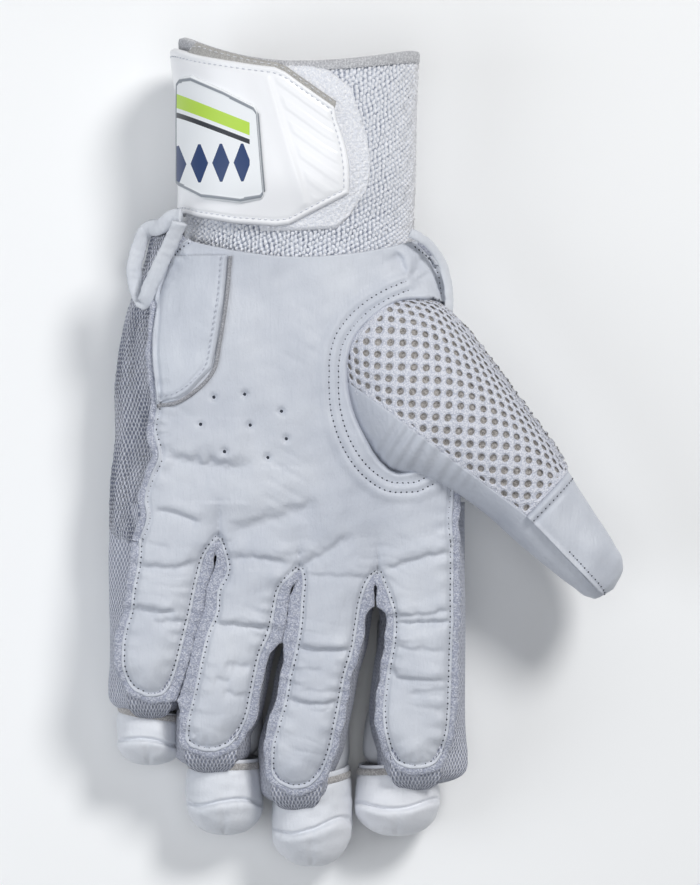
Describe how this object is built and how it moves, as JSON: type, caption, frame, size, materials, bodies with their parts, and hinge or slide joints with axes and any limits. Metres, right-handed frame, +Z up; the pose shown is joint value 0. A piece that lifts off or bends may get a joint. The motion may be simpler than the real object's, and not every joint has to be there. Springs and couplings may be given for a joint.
{
  "type": "cricket batting glove",
  "caption": "Left-hand batting glove, palm up, with padded rolls and caps on its back, a mesh thumb and a strapped towelling cuff.",
  "frame": {"origin": "under the middle of the whole glove, on the surface it lies on", "axes": "+X towards the thumb, +Y towards the cuff, +Z up out of the palm"},
  "size_m": [0.1738, 0.2756, 0.065],
  "materials": {
    "leather": "soft white sheepskin with fine creases",
    "knit": "open honeycomb knit, grey-white",
    "spacer_mesh": "white spacer mesh with rows of round holes",
    "towelling": "chunky white towelling knit",
    "tape": "grey-white woven tape and loop pile",
    "moulded_strap": "white, semi-gloss, embossed ribs",
    "badge": "raised badge with coloured shapes"
  },
  "bodies": {
    "root": {"palm_leather": "leather", "heel_patch": "leather", "hand_back": "knit", "little_gusset": "knit", "little_roll": "leather", "little_back_roll": "leather", "little_cap": "leather", "ring_gusset": "knit", "ring_roll": "leather", "ring_back_roll": "leather", "ring_cap": "leather", "middle_gusset": "knit", "middle_roll": "leather", "middle_back_roll": "leather", "middle_cap": "leather", "index_gusset": "knit", "index_roll": "leather", "index_back_roll": "leather", "index_cap": "leather", "thumb_mesh": "spacer_mesh", "thumb_tip": "leather", "thumb_leather": "leather", "thumb_pad": "leather", "cuff": "towelling", "cuff_edge_tape": "tape", "loop_patch": "tape", "strap": "moulded_strap", "badge_plate": "badge", "vent_loop": "leather", "rim_binding": "leather"}
  },
  "joints": []
}
